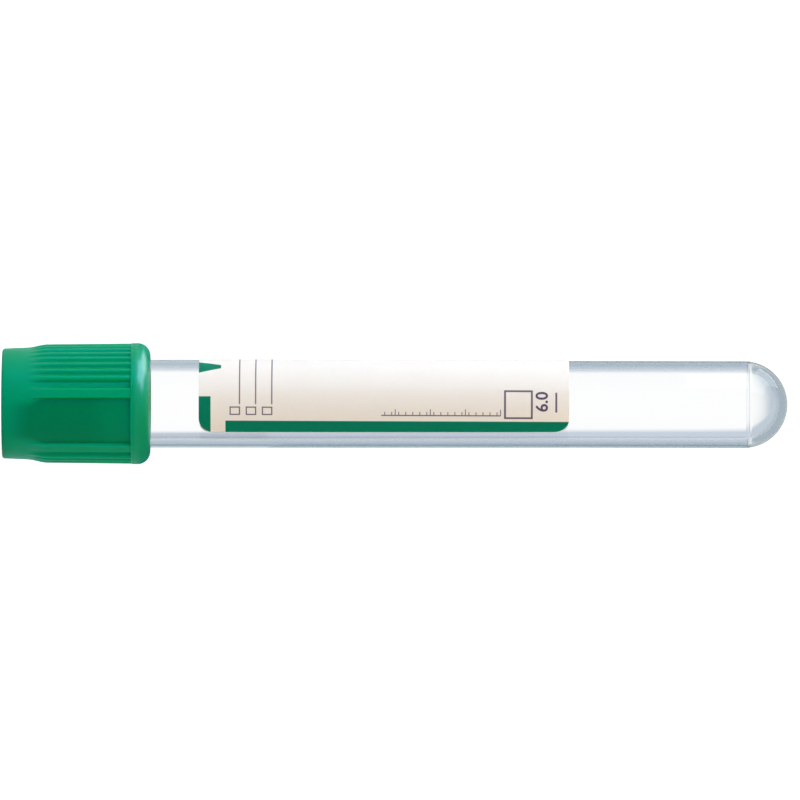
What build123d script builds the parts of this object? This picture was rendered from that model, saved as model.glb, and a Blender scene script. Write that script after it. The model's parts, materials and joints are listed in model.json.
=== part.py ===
from build123d import *
import os
from math import degrees

# A capped blood collection tube, standing upside down on the flat end of its closure.
# Millimetres and degrees. Z runs up the tube's axis, from the closure's flat end (0) to the round end.
# Angles run about the axis from the front (-Y) towards +X. Sections are drawn as (radius, height).

# Clear tube
tube_length = 100.0
tube_mouth_radius = 6.28
tube_foot_radius = 6.17
tube_wall = 1.05
tube_rim_round = 0.3
tube_parallel_length = 24.5   # stretch below the dome that has no mould draft
parting_bead_radius = 0.05
parting_bead_past_dome = 0.75

# Closure shell, built outwards from the tube it fits
cap_length = 21.1
cap_overlap = 9.0             # how far the skirt reaches over the tube
shoulder_width = 0.37         # ledge that holds the stopper's flange
shell_wall = 1.0              # around the stopper, at the grooves and the two smooth panels
crown_draft = 0.14            # the crown's flat end is this much smaller in radius than its foot
crown_edge_round = 0.4
rib_start = 3.4
rib_full = 6.5
rib_start_height = 0.47
rib_end_height = 0.58
collar_length = 2.7
collar_height = 0.65
collar_end_round = 1.8
web_thickness = 1.3           # end wall around the needle opening
needle_opening_radius = 4.25

# Grip pattern: two smooth panels opposite each other, each between two broad ridges
panel_angle = 19.6            # where the front panel's middle lies
panel_arc = 50.0
ridge_arc = 10.4
ridge_gap = 6.6
ribs_per_side = 12
groove_arc = 3.4

# Rubber stopper
boss_recess = 0.5             # the boss stands this far inside the closure's flat end
needle_well_radius = 2.4
needle_well_depth = 1.6
plug_length = 8.2
plug_lead = 0.6
plug_hollow_radius = 3.1
plug_hollow_depth = 5.0
plug_hollow_tip_radius = 1.2

# Paper label
label_from = 28.1
label_length = 52.8
label_thickness = 0.1
label_corner = 2.2
label_arc = 270.0
label_edge_angle = 39.0       # where its long edge at the front lies

# Fits
skirt_clearance = 0.35        # shell's skirt around the tube
bay_clearance = 0.08          # stopper's flange in the shell
boss_clearance = 0.15         # stopper's boss in the needle opening
web_clearance = 0.05          # between the stopper's flange and the end wall
shoulder_clearance = 0.1      # between the shell's shoulder and the flange
plug_clearance = 0.05         # stopper's plug in the tube's bore
label_clearance = 0.01        # film of glue

# Radii of the closure
skirt_radius = tube_mouth_radius + skirt_clearance
stopper_bay_radius = skirt_radius + shoulder_width
barrel_radius = stopper_bay_radius + shell_wall
crown_radius = barrel_radius - crown_draft
collar_radius = barrel_radius + collar_height
flange_radius = stopper_bay_radius - bay_clearance
boss_radius = needle_opening_radius - boss_clearance

# Heights on the axis
rim = cap_length - cap_overlap
flange_from = web_thickness + web_clearance
shoulder = rim + shoulder_clearance
collar_from = cap_length - collar_length
plug_end = rim + plug_length
plug_hollow_floor = plug_end - plug_hollow_depth
well_floor = boss_recess + needle_well_depth
label_to = label_from + label_length
tube_tip = rim + tube_length
dome = tube_tip - tube_foot_radius
parallel_from = dome - tube_parallel_length


def tube_radius(height):
    """Outer radius of the drafted stretch between the rim and the parallel foot."""
    share = (height - rim) / (parallel_from - rim)
    return tube_mouth_radius + share * (tube_foot_radius - tube_mouth_radius)


def section_at(angle):
    """Upright plane through the axis: local X runs out from the axis, local Y up."""
    outwards = Vector(0, -1, 0).rotate(Axis.Z, angle)
    return Plane((0, 0, 0), x_dir=outwards, z_dir=outwards.cross(Vector(0, 0, 1)))


def facing(angle):
    """Upright plane through the axis that faces this angle: local X runs up."""
    return Plane((0, 0, 0), x_dir=(0, 0, 1), z_dir=Vector(0, -1, 0).rotate(Axis.Z, angle))


def corner_of(sketch, radius, height):
    return sketch.vertices().sort_by_distance((radius, height, 0))[0]


# Clear tube
bore_mouth_radius = tube_mouth_radius - tube_wall
bore_foot_radius = tube_foot_radius - tube_wall
bead_ring_radius = (tube_foot_radius**2 - parting_bead_past_dome**2) ** 0.5

with BuildPart() as tube:
    with BuildSketch(section_at(0)) as tube_section:
        with BuildLine():
            Polyline(
                (bore_mouth_radius, rim),
                (tube_mouth_radius, rim),
                (tube_foot_radius, parallel_from),
                (tube_foot_radius, dome),
            )
            CenterArc((0, dome), tube_foot_radius, 0, 90)
            Line((0, tube_tip), (0, tube_tip - tube_wall))
            CenterArc((0, dome), bore_foot_radius, 90, -90)
            Polyline(
                (bore_foot_radius, dome),
                (bore_foot_radius, parallel_from),
                (bore_mouth_radius, rim),
            )
        make_face()
        rim_corners = [
            corner_of(tube_section, tube_mouth_radius, rim),
            corner_of(tube_section, bore_mouth_radius, rim),
        ]
        fillet(rim_corners, tube_rim_round)
    revolve(axis=Axis.Z)
    with BuildSketch(section_at(0)):
        with Locations((bead_ring_radius, dome + parting_bead_past_dome)):
            Circle(parting_bead_radius)
    revolve(axis=Axis.Z)
tube.part.label = "tube"

# Rubber stopper
plug_radius = tube_radius(plug_end) - tube_wall - plug_clearance

with BuildPart() as stopper:
    with BuildSketch(section_at(0)):
        with BuildLine():
            Polyline(
                (0, well_floor),
                (needle_well_radius, well_floor),
                (needle_well_radius, boss_recess),
                (boss_radius, boss_recess),
                (boss_radius, flange_from),
                (flange_radius, flange_from),
                (flange_radius, rim),
                (plug_radius, rim),
                (plug_radius, plug_end - plug_lead),
                (plug_radius - plug_lead, plug_end),
                (plug_hollow_radius, plug_end),
                (plug_hollow_tip_radius, plug_hollow_floor),
                (0, plug_hollow_floor),
                close=True,
            )
        make_face()
    revolve(axis=Axis.Z)
stopper.part.label = "stopper"

# Closure shell
panel_half = panel_arc / 2
ribbed_arc = 180 - 2 * (panel_half + ridge_arc + ridge_gap)
rib_pitch = ribbed_arc / ribs_per_side
rib_arc = rib_pitch - groove_arc
first_rib = 90 - rib_pitch * (ribs_per_side - 1) / 2
ribs = [(first_rib + rib_pitch * count, rib_arc) for count in range(ribs_per_side)]
ribs += [(panel_half + ridge_arc / 2, ridge_arc), (180 - panel_half - ridge_arc / 2, ridge_arc)]
rib_root = barrel_radius - shell_wall / 2

with BuildPart() as shield:
    with BuildSketch(section_at(0)) as shield_section:
        with BuildLine():
            Polyline(
                (needle_opening_radius, 0),
                (crown_radius, 0),
                (barrel_radius, rib_start),
                (barrel_radius, collar_from),
                (collar_radius, collar_from),
                (collar_radius, cap_length),
                (skirt_radius, cap_length),
                (skirt_radius, shoulder),
                (stopper_bay_radius, shoulder),
                (stopper_bay_radius, web_thickness),
                (needle_opening_radius, web_thickness),
                close=True,
            )
        make_face()
        fillet(corner_of(shield_section, crown_radius, 0), crown_edge_round)
        fillet(corner_of(shield_section, collar_radius, cap_length), collar_end_round)
    revolve(axis=Axis.Z)
    for side in (panel_angle, panel_angle + 180):
        for angle, arc in ribs:
            with BuildSketch(section_at(side + angle - arc / 2)):
                with BuildLine():
                    Polyline(
                        (rib_root, rib_start),
                        (barrel_radius, rib_start),
                        (barrel_radius + rib_start_height, rib_full),
                        (barrel_radius + rib_end_height, collar_from),
                        (rib_root, collar_from),
                        close=True,
                    )
                make_face()
            revolve(axis=Axis.Z, revolution_arc=arc)
shield.part.label = "shield"

# Paper label
label_radius_from = tube_radius(label_from) + label_clearance
label_radius_to = tube_radius(label_to) + label_clearance
label_start = label_edge_angle - label_arc
corner_turn = degrees(label_corner / label_radius_from)

with BuildPart() as label:
    with BuildSketch(section_at(label_start)):
        with BuildLine():
            Polyline(
                (label_radius_from, label_from),
                (label_radius_from + label_thickness, label_from),
                (label_radius_to + label_thickness, label_to),
                (label_radius_to, label_to),
                close=True,
            )
        make_face()
    revolve(axis=Axis.Z, revolution_arc=label_arc)
    for angle, across in ((label_edge_angle - corner_turn, -1), (label_start + corner_turn, 1)):
        for end, up in ((label_from, -1), (label_to, 1)):
            with BuildSketch(facing(angle)):
                with Locations((end - up * label_corner, 0)):
                    with Locations((up * label_corner, across * label_corner)):
                        Rectangle(2 * label_corner, 2 * label_corner)
                    Circle(label_corner, mode=Mode.SUBTRACT)
            extrude(amount=tube_mouth_radius + 2 * label_corner, mode=Mode.SUBTRACT)
label.part.label = "label"

os.makedirs("parts", exist_ok=True)
for piece in (tube, stopper, shield, label):
    export_step(piece.part, f"parts/{piece.part.label}.step")
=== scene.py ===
import json
import math

import bmesh
import bpy
from mathutils import Matrix, Vector


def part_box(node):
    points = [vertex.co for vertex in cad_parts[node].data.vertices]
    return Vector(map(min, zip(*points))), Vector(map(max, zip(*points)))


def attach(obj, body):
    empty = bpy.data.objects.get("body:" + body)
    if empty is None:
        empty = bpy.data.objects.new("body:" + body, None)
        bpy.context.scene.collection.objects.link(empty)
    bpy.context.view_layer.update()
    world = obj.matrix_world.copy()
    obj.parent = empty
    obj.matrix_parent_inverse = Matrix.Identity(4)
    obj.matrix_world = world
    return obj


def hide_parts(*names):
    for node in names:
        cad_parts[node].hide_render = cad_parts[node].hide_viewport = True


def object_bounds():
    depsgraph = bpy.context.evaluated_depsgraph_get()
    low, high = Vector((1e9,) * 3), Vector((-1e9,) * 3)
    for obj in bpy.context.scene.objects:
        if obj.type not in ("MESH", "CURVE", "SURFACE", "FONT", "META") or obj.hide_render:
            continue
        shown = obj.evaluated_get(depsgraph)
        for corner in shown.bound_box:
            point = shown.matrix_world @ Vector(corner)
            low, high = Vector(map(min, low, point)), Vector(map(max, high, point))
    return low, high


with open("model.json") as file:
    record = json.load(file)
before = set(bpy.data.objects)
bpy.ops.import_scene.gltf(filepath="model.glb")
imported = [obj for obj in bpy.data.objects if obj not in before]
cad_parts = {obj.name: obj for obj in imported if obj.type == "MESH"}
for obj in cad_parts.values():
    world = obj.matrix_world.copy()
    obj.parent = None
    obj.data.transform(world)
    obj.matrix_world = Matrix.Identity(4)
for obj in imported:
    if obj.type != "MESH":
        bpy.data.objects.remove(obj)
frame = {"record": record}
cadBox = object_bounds()
mounts = {mount["name"]: mount for mount in frame["record"]["mounts"]}
mm = 0.001              # a piece's sizes are in millimetres and degrees, and the scene is in metres
weld = 0.0001 * mm      # vertices this close to each other become one


class Flow:
    # One output of a node, in a material or in Geometry Nodes. Arithmetic on it adds Math nodes,
    # and node() adds any other kind.
    def __init__(self, tree, socket=None):
        self.tree = tree
        self.socket = socket

    def node(self, kind, settings=None, inputs=None, output=0):
        made = self.tree.nodes.new(kind)
        for name, value in (settings or {}).items():
            if name == "stops":
                self.setStops(made.color_ramp, value)
            else:
                setattr(made, name, value)
        for name, value in (inputs or {}).items():
            self.feed(made.inputs[name], value)
        return Flow(self.tree, made.outputs[output]) if len(made.outputs) else None

    def feed(self, socket, value):
        if isinstance(value, Flow):
            self.tree.links.new(value.socket, socket)
        else:
            socket.default_value = value

    def setStops(self, ramp, stops):
        while len(ramp.elements) < len(stops):
            ramp.elements.new(0.5)
        for element, (place, colour) in zip(ramp.elements, stops):
            element.position = place
            element.color = (*colour, 1)

    def other(self, name):
        return Flow(self.tree, self.socket.node.outputs[name])

    def maths(self, operation, *values):
        return self.node("ShaderNodeMath", {"operation": operation}, dict(enumerate(values)))

    def __add__(self, other):
        return self.maths("ADD", self, other)

    def __radd__(self, other):
        return self.maths("ADD", other, self)

    def __sub__(self, other):
        return self.maths("SUBTRACT", self, other)

    def __rsub__(self, other):
        return self.maths("SUBTRACT", other, self)

    def __mul__(self, other):
        return self.maths("MULTIPLY", self, other)

    def __rmul__(self, other):
        return self.maths("MULTIPLY", other, self)

    def __truediv__(self, other):
        return self.maths("DIVIDE", self, other)

    def __rtruediv__(self, other):
        return self.maths("DIVIDE", other, self)

    def smooth(self, start, end):
        # 0 before start, 1 past end, with a soft step between them
        limits = {"Value": self, "From Min": start, "From Max": end}
        return self.node("ShaderNodeMapRange", {"interpolation_type": "SMOOTHSTEP"}, limits)

    def stepAt(self, middle, half):
        return self.smooth(middle - half, middle + half)

    def between(self, low, high, soft):
        return self.stepAt(low, soft / 2) * (1 - self.stepAt(high, soft / 2))

    def greatest(self, other):
        return self.maths("MAXIMUM", self, other)

    def mixColour(self, first, second):
        inputs = {0: self, 6: asColour(first), 7: asColour(second)}
        return self.node("ShaderNodeMix", {"data_type": "RGBA"}, inputs, output=2)

    def attribute(self, name):
        return self.node("ShaderNodeAttribute", {"attribute_name": name}).other("Fac")

    def noise(self, scale, detail):
        return self.node("ShaderNodeTexNoise", inputs={"Vector": self, "Scale": scale, "Detail": detail})

    def bump(self, strength, depth):
        return self.node("ShaderNodeBump", inputs={"Height": self, "Strength": strength, "Distance": depth})


def asColour(value):
    return value if isinstance(value, Flow) else (*value, 1)


def scaled(colour, share):
    return tuple(share * part for part in colour)


def newMaterial(name):
    material = bpy.data.materials.new(name)
    material.use_nodes = True
    material.node_tree.nodes.clear()
    return material, Flow(material.node_tree)


def ownPlace(flow):
    return flow.node("ShaderNodeTexCoord").other("Object")


# Where a point of a round piece lies: degrees about the axis from the front towards +X, and millimetres up it
def aroundAndUp(place):
    parts = place.node("ShaderNodeSeparateXYZ", inputs={"Vector": place})
    turn = place.maths("ARCTAN2", parts, 0 - parts.other("Y")) * (180 / math.pi)
    return turn, parts.other("Z") / mm


# Sections are lists of (radius, height) in millimetres
def roundedOutline(corners, stepDegrees):
    # corners are (radius, height, rounding); the list is closed, and a rounding of 0 leaves a corner sharp
    points = []
    for index, (x, y, rounding) in enumerate(corners):
        if not rounding:
            points.append((x, y))
            continue
        corner = Vector((x, y))
        before = (Vector(corners[index - 1][:2]) - corner).normalized()
        after = (Vector(corners[(index + 1) % len(corners)][:2]) - corner).normalized()
        half = before.angle(after) / 2
        centre = corner + (before + after).normalized() * (rounding / math.sin(half))
        first = corner + before * (rounding / math.tan(half)) - centre
        last = corner + after * (rounding / math.tan(half)) - centre
        sweep = first.angle_signed(last)
        steps = max(2, math.ceil(abs(math.degrees(sweep)) / stepDegrees))
        for step in range(steps + 1):
            turned = first.copy()
            turned.rotate(Matrix.Rotation(-sweep * step / steps, 2))
            points.append(tuple(centre + turned))
    return points


def onCircle(centre, radius, degrees):
    turn = math.radians(degrees)
    return centre[0] + radius * math.cos(turn), centre[1] + radius * math.sin(turn)


def arc(centre, radius, fromDegrees, toDegrees, steps):
    sweep = toDegrees - fromDegrees
    return [onCircle(centre, radius, fromDegrees + sweep * step / steps) for step in range(steps + 1)]


def pointsBetween(start, end, shares):
    across = end[0] - start[0]
    up = end[1] - start[1]
    return [(start[0] + across * share, start[1] + up * share) for share in shares]


def softShare(value, start, end):
    # 0 before start, 1 past end, with a soft step between them
    share = min(max((value - start) / (end - start), 0), 1)
    return share * share * (3 - 2 * share)


def addObject(name, data):
    made = bpy.data.objects.new(name, data)
    bpy.context.scene.collection.objects.link(made)
    return made


def takeMesh(source):
    # the mesh that the object ends up with; the object itself goes
    bpy.context.view_layer.update()
    graph = bpy.context.evaluated_depsgraph_get()
    mesh = bpy.data.meshes.new_from_object(source.evaluated_get(graph))
    bpy.data.objects.remove(source)
    return mesh


# What a section's points can carry, besides their place: outerFace marks the outside and the share of the
# painted edge shade it takes, ribHeight says how far ribs rise there in millimetres, thinWall how far the
# wall lets the dark stopper show, and thinEdge over how many degrees that fades at a panel's edge
sectionFields = ("outerFace", "ribHeight", "thinWall", "thinEdge")


def sectionObject(name, points, closed, fields):
    mesh = bpy.data.meshes.new(name)
    count = len(points)
    edges = [(index, (index + 1) % count) for index in range(count if closed else count - 1)]
    mesh.from_pydata([(radius * mm, 0, height * mm) for radius, height in points], edges, [])
    for field in sectionFields:
        values = fields.get(field, [0.0] * count)
        mesh.attributes.new(field, "FLOAT", "POINT").data.foreach_set("value", values)
    return addObject(name, mesh)


# The tree turns a section about the axis, and raises ribs where the section asks for them
ribInputs = (
    "Panel Angle", "Panel Half", "Ridge End", "Ridge Side",
    "First Rib", "Rib Pitch", "Rib Half", "Rib Side", "Groove Floor",
)


def buildTurningTree():
    tree = bpy.data.node_groups.new("turnedPiece", "GeometryNodeTree")
    tree.interface.new_socket("Geometry", in_out="INPUT", socket_type="NodeSocketGeometry")
    tree.interface.new_socket("Columns", in_out="INPUT", socket_type="NodeSocketInt")
    tree.interface.new_socket("Material", in_out="INPUT", socket_type="NodeSocketMaterial")
    for name in ribInputs:
        tree.interface.new_socket(name, in_out="INPUT", socket_type="NodeSocketFloat")
    tree.interface.new_socket("Geometry", in_out="OUTPUT", socket_type="NodeSocketGeometry")
    flow = Flow(tree)
    given = flow.node("NodeGroupInput")
    size = {name: given.other(name) for name in ribInputs}

    def store(geometry, name, value, kind="FLOAT"):
        inputs = {"Geometry": geometry, "Name": name, "Value": value}
        return flow.node("GeometryNodeStoreNamedAttribute", {"data_type": kind}, inputs)

    def stored(name, kind="FLOAT"):
        return flow.node("GeometryNodeInputNamedAttribute", {"data_type": kind}, {"Name": name})

    # the section keeps its own place, and the ring it is swept round keeps its angle
    section = flow.node("GeometryNodeMeshToCurve", inputs={"Mesh": given.other("Geometry")})
    section = store(section, "sectionPlace", flow.node("GeometryNodeInputPosition"), "FLOAT_VECTOR")
    ring = flow.node("GeometryNodeCurvePrimitiveCircle", inputs={"Resolution": given.other("Columns")})
    ring = store(ring, "turn", flow.node("GeometryNodeInputIndex") * 360.0 / given.other("Columns"))
    skin = flow.node("GeometryNodeCurveToMesh", inputs={"Curve": ring, "Profile Curve": section})

    # ribs repeat every half turn and mirror about each panel's middle; a full turn more keeps the
    # angle positive
    turn = stored("turn")
    fromPanel = flow.maths("PINGPONG", turn - size["Panel Angle"] + 360.0, 90.0)
    halfPitch = size["Rib Pitch"] / 2
    ribbed = fromPanel.smooth(size["First Rib"] - halfPitch, size["First Rib"] - size["Rib Half"])
    fromRib = flow.maths("PINGPONG", fromPanel - size["First Rib"], halfPitch)
    groove = fromRib.stepAt(size["Rib Half"], size["Rib Side"])
    rib = ribbed * (1 - (1 - size["Groove Floor"]) * groove)
    pastPanel = fromPanel.stepAt(size["Panel Half"], size["Ridge Side"])
    pastRidge = fromPanel.stepAt(size["Ridge End"], size["Rib Side"])
    raised = rib.greatest(pastPanel * (1 - pastRidge))
    panel = 1 - fromPanel.smooth(size["Panel Half"] - stored("thinEdge"), size["Panel Half"])

    spot = flow.node("ShaderNodeSeparateXYZ", inputs={0: stored("sectionPlace", "FLOAT_VECTOR")})
    radius = spot + raised * stored("ribHeight") * mm
    angle = turn * (math.pi / 180)
    across = radius * flow.maths("SINE", angle)
    inward = radius * flow.maths("COSINE", angle)
    point = flow.node("ShaderNodeCombineXYZ", inputs={"X": across, "Y": 0 - inward, "Z": spot.other("Z")})
    skin = flow.node("GeometryNodeSetPosition", inputs={"Geometry": skin, "Position": point})
    skin = store(skin, "thinness", stored("thinWall") * panel)
    for spent in ("sectionPlace", "turn", "thinWall", "thinEdge", "ribHeight"):
        skin = flow.node("GeometryNodeRemoveAttribute", inputs={"Geometry": skin, "Name": spent})
    skin = flow.node("GeometryNodeMergeByDistance", inputs={"Geometry": skin, "Distance": 10 * weld})
    skin = flow.node("GeometryNodeRealizeInstances", inputs={"Geometry": skin})
    material = given.other("Material")
    skin = flow.node("GeometryNodeSetMaterial", inputs={"Geometry": skin, "Material": material})
    flow.node("NodeGroupOutput", inputs={"Geometry": skin})
    return tree


def turnedPiece(name, points, closed, fields, size, material):
    source = sectionObject(name + "Section", points, closed, fields)
    turning = source.modifiers.new("turning", "NODES")
    turning.node_group = turningTree
    values = {"Columns": size["columns"], "Material": material, **size.get("ribs", {})}
    for item in turningTree.interface.items_tree:
        if item.in_out == "INPUT" and item.name in values:
            turning[item.identifier] = values[item.name]
    return pieceFromMesh(name, takeMesh(source), material)


sharpAngle = math.radians(40)      # edges that bend further than this aren't shaded smooth


def pieceFromMesh(name, mesh, material):
    shape = bmesh.new()
    shape.from_mesh(mesh)
    bmesh.ops.remove_doubles(shape, verts=shape.verts, dist=weld)
    bmesh.ops.recalc_face_normals(shape, faces=shape.faces)
    for edge in shape.edges:
        edge.smooth = not edge.is_manifold or edge.calc_face_angle() < sharpAngle
    for face in shape.faces:
        face.smooth = True
    shape.to_mesh(mesh)
    shape.free()
    mesh.name = name
    mesh.materials.clear()
    mesh.materials.append(material)
    print(name, len(mesh.polygons), "faces")
    return addObject(name, mesh)


turningTree = buildTurningTree()


tubeLow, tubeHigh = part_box("tube")
clearTube = {
    "wall": 1.05,
    "rimRound": 0.3,
    "footRadius": mounts["rack_end"]["dims"]["r_mm"],
    "straightLength": mounts["rack_end"]["dims"]["length_mm"],
    "ringPastDome": 0.75,
    "ringHeight": 0.025,
    "ringHalfWidth": 0.26,
    "ringSoftness": 0.1,
    # how much of the painted edge shade the parting ring drops, a painted highlight, and how much rougher it
    # is
    "ringPaleness": 0.7,
    "ringRoughness": 0.15,
    # the round end's outside takes this share of the painted edge shade, and switches to its own painted
    # shade ramp over these heights past the parting ring
    "domeShare": 0.6,
    "domeTintFrom": -0.1,
    "domeTintFull": 0.5,
    "ior": 1.52,
    "roughness": 0.015,
    "shine": (0.42, 0.34, 0.27),
    "shadow": (0.93, 0.95, 0.96),
    "columns": 256,
    "domeSteps": 48,
    "ringSteps": 12,
    "footSteps": 6,
    "footShares": (0, 0.25, 0.5, 0.75),
    "rimStepDegrees": 15,
    # short steps beside the rim and the draft's end keep the long wall's shading true
    "draftShares": (0.01, 0.1, 0.35, 0.65, 0.9, 0.98, 0.99, 0.994),
    # painted edge shade: how dark the wall is painted from face on (0) to edge on (1), on the straight wall
    # and on the round end
    "wallTints": (
        (0.0, (1.0, 1.0, 1.0)),
        (0.3, (0.97, 0.98, 0.99)),
        (0.36, (0.56, 0.61, 0.7)),
        (0.43, (0.34, 0.41, 0.5)),
        (0.51, (0.24, 0.32, 0.41)),
        (0.6, (0.2, 0.28, 0.36)),
        (0.7, (0.32, 0.38, 0.45)),
        (0.85, (0.5, 0.55, 0.62)),
    ),
    "domeTints": (
        (0.0, (1.0, 1.0, 1.0)),
        (0.3, (0.86, 0.88, 0.8)),
        (0.36, (0.46, 0.5, 0.5)),
        (0.43, (0.31, 0.36, 0.38)),
        (0.51, (0.38, 0.41, 0.39)),
        (0.6, (0.42, 0.43, 0.4)),
        (0.7, (0.52, 0.51, 0.48)),
        (0.85, (0.6, 0.6, 0.62)),
    ),
}


def clearPlastic():
    look = clearTube
    material, flow = newMaterial("clearPlastic")
    facing = flow.node("ShaderNodeLayerWeight", inputs={"Blend": 0.5}).other("Facing")
    outside = flow.attribute("outerFace")
    up = aroundAndUp(ownPlace(flow))[1]
    ringUp = tubeHigh.z / mm - look["footRadius"] + look["ringPastDome"]
    # painted shade: the wall is painted darker grey-blue the nearer it is seen end on, near the silhouette,
    # in place of the dark surroundings seen through it
    paintedWallShade = flow.node("ShaderNodeValToRGB", {"stops": look["wallTints"]}, {"Fac": facing})
    paintedDomeShade = flow.node("ShaderNodeValToRGB", {"stops": look["domeTints"]}, {"Fac": facing})
    onDome = up.smooth(ringUp + look["domeTintFrom"], ringUp + look["domeTintFull"])
    paintedEdgeShade = onDome.mixColour(paintedWallShade, paintedDomeShade)
    # painted highlight: the parting ring takes less of the painted edge shade, where it catches light, and it
    # is rougher than the polished wall
    ringHalf = look["ringHalfWidth"]
    ring = outside * up.between(ringUp - ringHalf, ringUp + ringHalf, look["ringSoftness"])
    glass = flow.node("ShaderNodeBsdfPrincipled", inputs={
        "Base Color": (outside * (1 - look["ringPaleness"] * ring)).mixColour((1, 1, 1), paintedEdgeShade),
        "Roughness": look["roughness"] + look["ringRoughness"] * ring,
        "IOR": look["ior"],
        "Transmission Weight": 1.0,
        "Specular Tint": asColour(look["shine"]),
    })
    # light falls through the clear wall on what is behind it
    unlit = flow.node("ShaderNodeBsdfTransparent", inputs={"Color": asColour(look["shadow"])})
    isShadow = flow.node("ShaderNodeLightPath").other("Is Shadow Ray")
    shown = flow.node("ShaderNodeMixShader", inputs={0: isShadow, 1: glass, 2: unlit})
    flow.node("ShaderNodeOutputMaterial", inputs={"Surface": shown})
    return material


def tubeOutline():
    size = clearTube
    tip = tubeHigh.z / mm
    rim = tubeLow.z / mm
    mouth = tubeHigh.x / mm
    foot = size["footRadius"]
    bore = foot - size["wall"]
    dome = tip - foot
    centre = (0, dome)
    straightFrom = dome - size["straightLength"]
    ringAt = math.degrees(math.asin(size["ringPastDome"] / foot))
    ringHalf = math.degrees(size["ringHalfWidth"] / foot)
    outer = arc(centre, foot, 90, ringAt + ringHalf, size["domeSteps"])
    for step in range(1, size["ringSteps"]):
        share = step / size["ringSteps"]
        lift = size["ringHeight"] * math.sin(math.pi * share) ** 2
        outer.append(onCircle(centre, foot + lift, ringAt + ringHalf * (1 - 2 * share)))
    outer += arc(centre, foot, ringAt - ringHalf, 0, size["footSteps"])
    outer += reversed(pointsBetween((foot, straightFrom), (foot, dome), size["footShares"]))
    draft = pointsBetween((foot, straightFrom), (mouth, rim), size["draftShares"])
    corners = [
        (foot, straightFrom, 0),
        (mouth, rim, size["rimRound"]),
        (mouth - size["wall"], rim, size["rimRound"]),
        (bore, straightFrom, 0),
    ]
    mouthRim = draft + roundedOutline(corners, size["rimStepDegrees"])[1:-1]
    mouthRim += [(radius - size["wall"], height) for radius, height in reversed(draft)]
    inner = pointsBetween((bore, straightFrom), (bore, dome), size["footShares"])
    inner += arc(centre, bore, 0, 90, size["domeSteps"])
    half = len(mouthRim) // 2
    ringUp = dome + size["ringPastDome"]
    # the round end's outside takes a smaller share of the painted edge shade
    outerFace = [size["domeShare"] if height > ringUp else 1.0 for radius, height in outer]
    outerFace += [1.0] * half + [0.0] * (len(mouthRim) - half + len(inner))
    return outer + mouthRim + inner, {"outerFace": outerFace}


def buildTube():
    points, fields = tubeOutline()
    piece = turnedPiece("clearTube", points, False, fields, clearTube, clearPlastic())
    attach(piece, "tube")
    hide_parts("tube")


stopperLow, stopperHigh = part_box("stopper")
rubberStopper = {
    "bossRadius": 4.1,
    "flangeFrom": 1.35,
    "flangeTo": tubeLow.z / mm,
    "wellRadius": mounts["needle_well"]["dims"]["r_mm"],
    "wellDepth": mounts["needle_well"]["dims"]["length_mm"],
    "plugRadius": 5.163,
    "plugLead": 0.6,
    "hollowRadius": 3.1,
    "hollowDepth": 5.0,
    "hollowTip": 1.2,
    "edgeRound": 0.2,
    "roundStepDegrees": 15,
    "columns": 160,
    "colour": (0.006, 0.022, 0.016),
    "roughness": 0.62,
}


def mattRubber():
    look = rubberStopper
    material, flow = newMaterial("mattRubber")
    place = ownPlace(flow)
    cloud = place.noise(900.0, 4.0)
    grain = place.noise(9000.0, 2.0)
    rubber = flow.node("ShaderNodeBsdfPrincipled", inputs={
        "Base Color": cloud.smooth(0.3, 0.7).mixColour(look["colour"], scaled(look["colour"], 1.5)),
        "Roughness": look["roughness"] + 0.12 * cloud,
        "Specular IOR Level": 0.35,
        "Normal": grain.bump(0.25, 0.02 * mm),
    })
    flow.node("ShaderNodeOutputMaterial", inputs={"Surface": rubber})
    return material


def buildStopper():
    size = rubberStopper
    rounding = size["edgeRound"]
    top = stopperLow.z / mm
    end = stopperHigh.z / mm
    flange = stopperHigh.x / mm
    wellFloor = top + size["wellDepth"]
    hollowFloor = end - size["hollowDepth"]
    corners = [
        (0, wellFloor, 0),
        (size["wellRadius"], wellFloor, rounding),
        (size["wellRadius"], top, rounding),
        (size["bossRadius"], top, rounding),
        (size["bossRadius"], size["flangeFrom"], 0),
        (flange, size["flangeFrom"], rounding),
        (flange, size["flangeTo"], rounding),
        (size["plugRadius"], size["flangeTo"], rounding / 2),
        (size["plugRadius"], end - size["plugLead"], rounding),
        (size["plugRadius"] - size["plugLead"], end, rounding),
        (size["hollowRadius"], end, rounding),
        (size["hollowTip"], hollowFloor, rounding),
        (0, hollowFloor, 0),
    ]
    points = roundedOutline(corners, size["roundStepDegrees"])
    piece = turnedPiece("rubberStopper", points, False, {}, size, mattRubber())
    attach(piece, "stopper")
    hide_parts("stopper")


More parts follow.
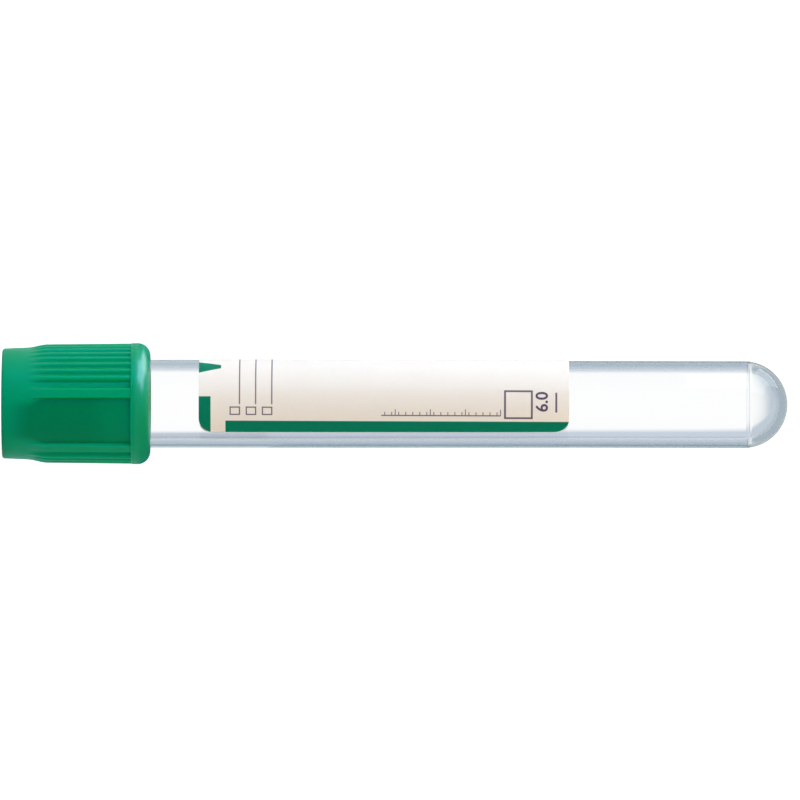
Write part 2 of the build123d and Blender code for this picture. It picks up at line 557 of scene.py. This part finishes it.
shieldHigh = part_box("shield")[1]
closureShell = {
    "collarHeight": 0.65,
    "collarLength": 2.7,
    "collarEndRound": 1.8,
    "collarEdgeRound": 0.14,
    "crownDraft": 0.14,
    "crownEdgeRound": 0.4,
    "ribStart": 3.4,
    "ribFull": 6.5,
    "ribStartHeight": 0.47,
    "ribEndHeight": 0.58,
    "wall": 1.0,
    "shoulderWidth": 0.37,
    "shoulder": tubeLow.z / mm + 0.1,
    "endWall": 1.3,
    "endWallRound": 0.1,
    "bayRound": 0.2,
    "openingRadius": 4.25,
    "openingRound": 0.15,
    "lip": 0.2,
    "lipHeight": 0.4,
    "lipReach": 0.7,
    "lipRound": 0.1,
    "crownHeights": (1.0, 1.8, 2.6),
    "climbSteps": 10,
    "levelShares": (0.25, 0.5, 0.75, 0.97),
    "roundStepDegrees": 9,
    # how the stopper shows through the panels' wall: heights over which it fades in, degrees over which it
    # fades out at the panels' edges near the flat end, and its share past the stopper's flange
    "thinFrom": 0.0,
    "thinFull": 4.2,
    "thinEdge": 11.0,
    "thinPastStopper": 0.72,
    "pastStopper": 1.0,
    "columns": 900,
    "ribs": {
        "Panel Angle": 19.6,
        "Panel Half": 25.0,
        "Ridge End": 35.4,
        "Ridge Side": 0.7,
        "First Rib": 46.0,
        "Rib Pitch": 8.0,
        "Rib Half": 2.3,
        "Rib Side": 1.7,
        "Groove Floor": 0.42,
    },
    "colour": (0.0, 0.29, 0.06),
    "thinColour": (0.0, 0.18, 0.003),
    "roughness": 0.34,
    "shine": (0.01, 0.6, 1.0),
    "polishFrom": 2.3,
    "polishFull": 1.5,
    "underPolish": 0.25,
}


def greenPlastic():
    look = closureShell
    material, flow = newMaterial("greenPlastic")
    place = ownPlace(flow)
    up = aroundAndUp(place)[1]
    cloud = place.noise(260.0, 3.0) - 0.5
    grain = place.noise(5200.0, 2.0)
    # the collar's round end is polished, and rougher below its polish
    length = shieldHigh.z / mm
    polish = up.smooth(length - look["polishFrom"], length - look["polishFull"])
    # the dark stopper shows through where the wall is thin
    thin = flow.attribute("thinness") + 0.08 * cloud
    plastic = flow.node("ShaderNodeBsdfPrincipled", inputs={
        "Base Color": thin.mixColour(look["colour"], look["thinColour"]),
        "Roughness": look["roughness"] + 0.1 * cloud + look["underPolish"] * polish,
        "IOR": 1.62,
        "Specular IOR Level": 1.0,
        "Specular Tint": asColour(look["shine"]),
        "Coat Weight": polish,
        "Coat Roughness": 0.27,
        "Coat IOR": 1.75,
        "Subsurface Weight": 0.8,
        "Subsurface Radius": (0.3, 1.0, 0.6),
        "Subsurface Scale": 1.1 * mm,
        "Normal": grain.bump(0.2, 0.015 * mm),
    })
    flow.node("ShaderNodeOutputMaterial", inputs={"Surface": plastic})
    return material


def shellOutline():
    size = closureShell
    length = shieldHigh.z / mm
    collar = shieldHigh.x / mm
    barrel = collar - size["collarHeight"]
    crown = barrel - size["crownDraft"]
    bay = barrel - size["wall"]
    skirt = bay - size["shoulderWidth"]
    collarFrom = length - size["collarLength"]
    opening = size["openingRadius"]
    lip = skirt - size["lip"]
    ribStart = size["ribStart"]
    ribFull = size["ribFull"]
    slope = size["crownDraft"] / ribStart
    steps = size["climbSteps"]
    climb = [ribStart + (ribFull - ribStart) * step / steps for step in range(1, steps + 1)]
    level = [ribFull + (collarFrom - ribFull) * share for share in size["levelShares"]]
    corners = [(opening, 0, size["openingRound"]), (crown, 0, size["crownEdgeRound"])]
    corners += [(crown + slope * height, height, 0) for height in size["crownHeights"]]
    corners += [(barrel, height, 0) for height in [ribStart] + climb + level]
    corners += [
        (barrel, collarFrom, 0),
        (collar, collarFrom, size["collarEdgeRound"]),
        (collar, length, size["collarEndRound"]),
        (lip, length, size["lipRound"]),
        (lip, length - size["lipHeight"], size["lipRound"]),
        (skirt, length - size["lipReach"], 0),
        (skirt, size["shoulder"], 0),
        (bay, size["shoulder"], 0),
        (bay, size["endWall"], size["bayRound"]),
        (opening, size["endWall"], size["endWallRound"]),
    ]
    points = roundedOutline(corners, size["roundStepDegrees"])
    fields = {"ribHeight": [], "thinWall": [], "thinEdge": []}
    near = 0.01
    for radius, height in points:
        belowCollar = height < collarFrom + near
        onBarrel = belowCollar and barrel - near < radius < barrel + near
        climbed = softShare(height, ribStart, ribFull)
        along = max((height - ribFull) / (collarFrom - ribFull), 0)
        full = size["ribStartHeight"] + along * (size["ribEndHeight"] - size["ribStartHeight"])
        fields["ribHeight"].append(climbed * full if onBarrel else 0.0)
        thin = softShare(height, size["thinFrom"], size["thinFull"])
        if height > size["shoulder"] + size["pastStopper"]:
            thin = thin * size["thinPastStopper"]
        fields["thinWall"].append(thin if belowCollar and radius > crown - near else 0.0)
        edge = size["thinEdge"]
        fields["thinEdge"].append(edge + climbed * (size["ribs"]["Ridge Side"] - edge))
    return points, fields


def buildShell():
    points, fields = shellOutline()
    piece = turnedPiece("closureShell", points, True, fields, closureShell, greenPlastic())
    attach(piece, "shield")
    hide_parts("shield")


labelLow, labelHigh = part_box("label")
paperLabel = {
    "thickness": 0.1,
    "clearance": 0.01,
    "corner": 2.2,
    "edgeAngle": 39.0,
    "arc": 270.0,
    "columns": 150,
    "cornerColumns": 14,
    "rows": 12,
    "paper": (0.9, 0.715, 0.61),
    "green": (0.0, 0.182, 0.09),
    "ink": (0.09, 0.045, 0.09),
    "inkCover": 0.92,
    "shine": (0.25, 0.9, 1.0),
    "edgeSoftness": 0.08,
    "skew": 0.03,
    "skewFrom": 26.0,
    # printed fields: from and to up the label in millimetres, then from and to about the axis in degrees;
    # stripe and block run off the label's edges
    "stripe": (3.8, 99.0, 22.7, 60.0),
    "block": (-9.0, 1.7, -9.0, 60.0),
    "pointerBase": (-68.0, -43.0),
    "pointerTip": (-60.0, -52.0),
    "pointerLength": 3.2,
    "lineWidth": 0.17,
    "boldLine": 1.6,
    "emptyBox": (43.5, 47.6, -19.0, 19.0),
    "writeLinesUp": (5.9, 8.2, 10.5),
    "writeLineTurns": (-88.0, 1.0),
    "tickBoxSize": 1.5,
    "tickBoxTurns": (4.0, 15.0),
    "scaleUp": (26.0, 43.0),
    "scaleTurn": 14.0,
    "markEnds": 0.1,
    "markPale": 0.08,
    "markFull": 0.04,
    "markTurns": (10.0, 15.0),
    "longMarkTurns": (6.5, 15.0),
    "barUp": 50.8,
    "barTurns": (-16.0, 10.0),
}


def tubeRadius(height):
    # outer radius of the drafted wall, in millimetres
    size = clearTube
    straightFrom = tubeHigh.z / mm - size["footRadius"] - size["straightLength"]
    share = (height - tubeLow.z / mm) / (straightFrom - tubeLow.z / mm)
    return tubeHigh.x / mm + share * (size["footRadius"] - tubeHigh.x / mm)


labelMiddle = (labelLow.z + labelHigh.z) / 2 / mm
labelRadius = tubeRadius(labelMiddle) + paperLabel["clearance"] + paperLabel["thickness"]


def printedPaper():
    look = paperLabel
    material, flow = newMaterial("printedPaper")
    place = ownPlace(flow)
    turn, up = aroundAndUp(place)
    along = up - labelLow.z / mm
    turn = turn - look["skew"] * (along - look["skewFrom"])
    reach = labelRadius * math.pi / 180       # millimetres of paper to a degree
    soft = look["edgeSoftness"]
    line = look["lineWidth"]
    bold = look["boldLine"] * line

    def field(fromUp, toUp, fromTurn, toTurn):
        return along.between(fromUp, toUp, soft) * turn.between(fromTurn, toTurn, soft / reach)

    def outlined(fromUp, toUp, fromTurn, toTurn, width):
        hollow = field(fromUp + width, toUp - width, fromTurn + width / reach, toTurn - width / reach)
        return field(fromUp, toUp, fromTurn, toTurn) * (1 - hollow)

    def pointerSide(side):
        base = look["pointerBase"][side]
        return base + along / look["pointerLength"] * (look["pointerTip"][side] - base)

    # the pointer narrows from its base on the label's edge to its tip
    pointer = (turn - pointerSide(0)).smooth(0, soft / reach)
    pointer = pointer * (pointerSide(1) - turn).smooth(0, soft / reach)
    pointer = pointer * (1 - along.smooth(look["pointerLength"] - soft, look["pointerLength"]))
    green = field(*look["stripe"]).greatest(field(*look["block"])).greatest(pointer)

    # write-in lines with a tick box each, a plain scale, an empty box and a bar under the figure
    ink = outlined(*look["emptyBox"], bold)
    ink = ink.greatest(field(look["barUp"], look["barUp"] + bold, *look["barTurns"]))
    for base in look["writeLinesUp"]:
        ink = ink.greatest(field(base - line, base, *look["writeLineTurns"]))
        ink = ink.greatest(outlined(base - look["tickBoxSize"], base, *look["tickBoxTurns"], line))
    scaleFrom, scaleTo = look["scaleUp"]
    ink = ink.greatest(field(scaleFrom, scaleTo, look["scaleTurn"], look["scaleTurn"] + line / reach))
    for start, halfPitch, turns in ((0.0, 0.5, look["markTurns"]), (0.5, 2.5, look["longMarkTurns"])):
        # the height swings between 0 and half the pitch, and each of its peaks is a mark
        swing = flow.maths("PINGPONG", along - start, halfPitch)
        mark = swing.smooth(halfPitch - look["markPale"], halfPitch - look["markFull"])
        ink = ink.greatest(mark * field(scaleFrom, scaleTo + look["markEnds"], *turns))

    fibre = place.noise(2400.0, 4.0)
    cloud = place.noise(160.0, 3.0)
    printed = flow.attribute("printedSide")
    colour = (0.5 * fibre + 0.5 * cloud).smooth(0.35, 0.65)
    colour = colour.mixColour(look["paper"], scaled(look["paper"], 0.985))
    colour = (printed * green).mixColour(colour, look["green"])
    colour = (printed * ink * look["inkCover"]).mixColour(colour, look["ink"])
    sheet = flow.node("ShaderNodeBsdfPrincipled", inputs={
        "Base Color": colour,
        "Roughness": 0.46 - 0.08 * green + 0.06 * (fibre - 0.5),
        "IOR": 1.45,
        "Specular IOR Level": 0.35,
        "Specular Tint": asColour(look["shine"]),
        "Subsurface Weight": 0.7,
        "Subsurface Radius": (1.0, 0.92, 0.85),
        "Subsurface Scale": 0.25 * mm,
        "Normal": fibre.bump(0.12, 0.01 * mm),
    })
    flow.node("ShaderNodeOutputMaterial", inputs={"Surface": sheet})
    return material


def onLabel(turnDegrees, height, lift):
    radius = tubeRadius(height) + paperLabel["clearance"] + lift
    turn = math.radians(turnDegrees)
    return Vector((radius * math.sin(turn), -radius * math.cos(turn), height)) * mm


def buildLabel():
    size = paperLabel
    low = labelLow.z / mm
    high = labelHigh.z / mm
    cornerTurn = math.degrees(size["corner"] / labelRadius)
    start = size["edgeAngle"] - size["arc"]
    # columns crowd together in the rounded corners
    quarter = [math.pi / 2 * step / size["cornerColumns"] for step in range(size["cornerColumns"] + 1)]
    corner = [cornerTurn * (1 - math.cos(angle)) for angle in quarter]
    plain = size["arc"] - 2 * cornerTurn
    turns = corner + [cornerTurn + plain * step / size["columns"] for step in range(1, size["columns"])]
    turns += [size["arc"] - turn for turn in reversed(corner)]
    sheet = bmesh.new()
    printed = sheet.verts.layers.float.new("printedSide")

    def column(turn, lift):
        # the vertices up the label at one turn, pulled in from its ends by the rounded corners
        edge = min(turn, size["arc"] - turn)
        short = max(0, size["corner"] * (1 - edge / cornerTurn))
        inset = size["corner"] - math.sqrt(size["corner"] ** 2 - short ** 2)
        tall = high - low - 2 * inset
        verts = []
        for row in range(size["rows"] + 1):
            vert = sheet.verts.new(onLabel(start + turn, low + inset + tall * row / size["rows"], lift))
            vert[printed] = lift / size["thickness"]
            verts.append(vert)
        return verts

    def join(first, second):
        for index in range(len(first) - 1):
            sheet.faces.new((first[index], first[index + 1], second[index + 1], second[index]))

    inner, outer = [[column(turn, lift) for turn in turns] for lift in (0, size["thickness"])]
    for layer in (inner, outer):
        for left, right in zip(layer, layer[1:]):
            join(left, right)
    for end in (0, -1):
        join([verts[end] for verts in inner], [verts[end] for verts in outer])
        join(inner[end], outer[end])
    mesh = bpy.data.meshes.new("paperLabel")
    sheet.to_mesh(mesh)
    sheet.free()
    piece = pieceFromMesh("paperLabel", mesh, printedPaper())
    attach(piece, "tube")
    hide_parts("label")


volumeFigure = {
    "text": "6.0",
    "height": 1.7,
    "heightToSize": 0.7,
    "up": 49.7,
    "middleTurn": -3.2,
    "weight": 0.04,
    "thickness": 0.012,
    "clearance": 0.002,
    "curveSteps": 6,
    "cut": 0.2,
    "weld": 1e-5,
}


def printInk():
    material, flow = newMaterial("printInk")
    cloud = ownPlace(flow).noise(3000.0, 3.0)
    ink = paperLabel["ink"]
    film = flow.node("ShaderNodeBsdfPrincipled", inputs={
        "Base Color": cloud.smooth(0.3, 0.7).mixColour(ink, scaled(ink, 1.35)),
        "Roughness": 0.42 + 0.1 * cloud,
    })
    flow.node("ShaderNodeOutputMaterial", inputs={"Surface": film})
    return material


def buildVolumeFigure():
    size = volumeFigure
    text = bpy.data.curves.new("volumeFigure", "FONT")
    text.body = size["text"]
    text.size = size["height"] / size["heightToSize"]
    text.align_x = "CENTER"
    text.extrude = size["thickness"] / 2
    text.offset = size["weight"]
    text.resolution_u = size["curveSteps"]
    mesh = takeMesh(addObject("volumeFigureText", text))
    shape = bmesh.new()
    shape.from_mesh(mesh)
    bmesh.ops.remove_doubles(shape, verts=shape.verts, dist=size["weld"])
    # cuts across the flat figure let it bend round the label
    widest = max(abs(vert.co.x) for vert in shape.verts)
    cuts = math.ceil(widest / size["cut"])
    for step in range(-cuts, cuts + 1):
        everything = shape.verts[:] + shape.edges[:] + shape.faces[:]
        onPlane = (step * size["cut"], 0, 0)
        bmesh.ops.bisect_plane(shape, geom=everything, plane_co=onPlane, plane_no=(1, 0, 0))
    base = labelLow.z / mm + size["up"]
    for vert in shape.verts:
        turn = size["middleTurn"] - math.degrees(vert.co.x / labelRadius)
        lift = paperLabel["thickness"] + vert.co.z + size["thickness"] / 2 + size["clearance"]
        vert.co = onLabel(turn, base - vert.co.y, lift)
    shape.to_mesh(mesh)
    shape.free()
    piece = pieceFromMesh("volumeFigure", mesh, printInk())
    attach(piece, "tube")


# metres, degrees and watts
studio = {
    "floorReach": 4.0,
    "floorGap": 0.01 * mm,
    "backdrop": (1.06, 1.06, 1.06),
    "floorGlow": (0.7, 0.7, 0.7),
    "floorColour": (0.52, 0.52, 0.52),
    "skyLight": (0.6, 0.62, 0.64),
    "skyShine": (0.02, 0.16, 0.18),
    "flagColour": (0.53, 0.61, 0.71),
    "lowFlagColour": (0.45, 0.52, 0.61),
    "flagTurns": (9.9, 24.5),
    "flagSoftness": 5.0,
    "flagLean": 45.0,
    "lowFlagLean": 2.6,
    "ceilingRise": (0.04, 0.22),
    "lamps": {
        "softbox": {
            "power": 5.8,
            "place": (-0.6, -0.25, 0.42),
            "size": 0.7,
            "colour": (0.58, 0.76, 1.0),
            "shines": True,
        },
        "sideBox": {
            "power": 3.2,
            "place": (-0.66, 0.3, 0.66),
            "size": 0.6,
            "colour": (0.85, 0.93, 1.0),
            "shines": True,
        },
        "fillPanel": {
            "power": 2.9,
            "place": (0.5, -0.65, 0.1),
            "size": 0.7,
            "colour": (1.0, 0.92, 0.6),
            "shines": False,
        },
    },
}


def seenThrough(flow, way, lean, flagColour):
    # through the clear wall, a leaning grey flag shows to the right behind the object, and the ceiling past
    # the backdrop is grey as well
    turn = flow.maths("ARCTAN2", way, way.other("Y")) * (180 / math.pi)
    flag = (turn + lean).between(*studio["flagTurns"], studio["flagSoftness"])
    ceiling = way.other("Z").smooth(*studio["ceilingRise"])
    return flag.greatest(ceiling).mixColour((1, 1, 1), flagColour)


def buildFloor():
    material, flow = newMaterial("paleFloor")
    path = flow.node("ShaderNodeLightPath")
    through = path.other("Is Transmission Ray")
    glow = path.other("Is Glossy Ray").mixColour(studio["floorGlow"], studio["skyShine"])
    strength = 1 - path.other("Is Diffuse Ray")
    glow = flow.node("ShaderNodeEmission", inputs={"Color": glow, "Strength": strength})
    card = flow.node("ShaderNodeBsdfDiffuse", inputs={"Color": asColour(studio["floorColour"])})
    lit = flow.node("ShaderNodeAddShader", inputs={0: card, 1: glow})
    place = ownPlace(flow)
    far = flow.node("ShaderNodeVectorMath", {"operation": "LENGTH"}, {0: place}).other("Value")
    way = flow.node("ShaderNodeSeparateXYZ", inputs={0: place})
    # on the floor, the flag leans less the further it is from the object
    lean = 0 - studio["lowFlagLean"] / (far + 1.0)
    shade = seenThrough(flow, way, lean, studio["lowFlagColour"])
    backdrop = flow.node("ShaderNodeEmission", inputs={"Color": shade})
    lit = flow.node("ShaderNodeMixShader", inputs={0: through, 1: lit, 2: backdrop})
    clear = flow.node("ShaderNodeBsdfTransparent")
    behind = flow.node("ShaderNodeNewGeometry").other("Backfacing")
    shown = flow.node("ShaderNodeMixShader", inputs={0: behind, 1: lit, 2: clear})
    flow.node("ShaderNodeOutputMaterial", inputs={"Surface": shown})
    reach = studio["floorReach"]
    level = cadBox[0].z - studio["floorGap"]
    sides = ((-reach, -reach), (reach, -reach), (reach, reach), (-reach, reach))
    mesh = bpy.data.meshes.new("floor")
    mesh.from_pydata([(x, y, level) for x, y in sides], [], [(0, 1, 2, 3)])
    mesh.materials.append(material)
    floor = addObject("floor", mesh)


def buildWorld():
    world = bpy.data.worlds.new("studioWorld")
    world.use_nodes = True
    world.node_tree.nodes.clear()
    bpy.context.scene.world = world
    flow = Flow(world.node_tree)
    path = flow.node("ShaderNodeLightPath")
    ray = flow.node("ShaderNodeTexCoord").other("Generated")
    way = flow.node("ShaderNodeSeparateXYZ", inputs={0: ray})
    light = path.other("Is Glossy Ray").mixColour(studio["skyLight"], studio["skyShine"])
    through = seenThrough(flow, way, studio["flagLean"] * way.other("Z"), studio["flagColour"])
    light = path.other("Is Transmission Ray").mixColour(light, through)
    light = path.other("Is Camera Ray").mixColour(light, studio["backdrop"])
    sky = flow.node("ShaderNodeBackground", inputs={"Color": light, "Strength": 1.0})
    flow.node("ShaderNodeOutputWorld", inputs={"Surface": sky})


def buildLamps():
    middle = (cadBox[0] + cadBox[1]) / 2
    for name, settings in studio["lamps"].items():
        data = bpy.data.lights.new(name, "AREA")
        data.shape = "SQUARE"
        data.size = settings["size"]
        data.energy = settings["power"]
        data.color = settings["colour"]
        lamp = addObject(name, data)
        lamp.location = settings["place"]
        lamp.visible_glossy = settings["shines"]
        lamp.visible_transmission = False
        lamp.rotation_euler = (middle - lamp.location).to_track_quat("-Z", "Y").to_euler()


# metres and degrees; centre is the share of the object's height that the camera points at
view = {
    "distance": 2.0,
    "pictureWidth": 0.1143,
    "upShift": 0.76 * mm,
    "centre": 0.5065,
    "sensor": 36.0,
    "roll": 0.09,
    "clip": (0.01, 20.0),
}


def buildCamera():
    # the camera lies on its side, so that the tube runs across the picture with its closure on the left
    data = bpy.data.cameras.new("camera")
    data.sensor_width = view["sensor"]
    data.lens = view["sensor"] * view["distance"] / view["pictureWidth"]
    data.clip_start, data.clip_end = view["clip"]
    camera = addObject("camera", data)
    right, up, back = Vector((0, 0, 1)), Vector((-1, 0, 0)), Vector((0, -1, 0))
    lying = Matrix((right, up, back)).transposed().to_4x4()
    turned = lying @ Matrix.Rotation(math.radians(view["roll"]), 4, "Z")
    height = cadBox[0].z + view["centre"] * (cadBox[1].z - cadBox[0].z)
    camera.matrix_world = Matrix.Translation((-view["upShift"], -view["distance"], height)) @ turned
    bpy.context.scene.camera = camera


print("pieces")
buildTube()
buildStopper()
buildShell()
buildLabel()
buildVolumeFigure()
print("studio")
buildFloor()
buildWorld()
buildLamps()
buildCamera()
bpy.context.scene.view_settings.view_transform = "Standard"
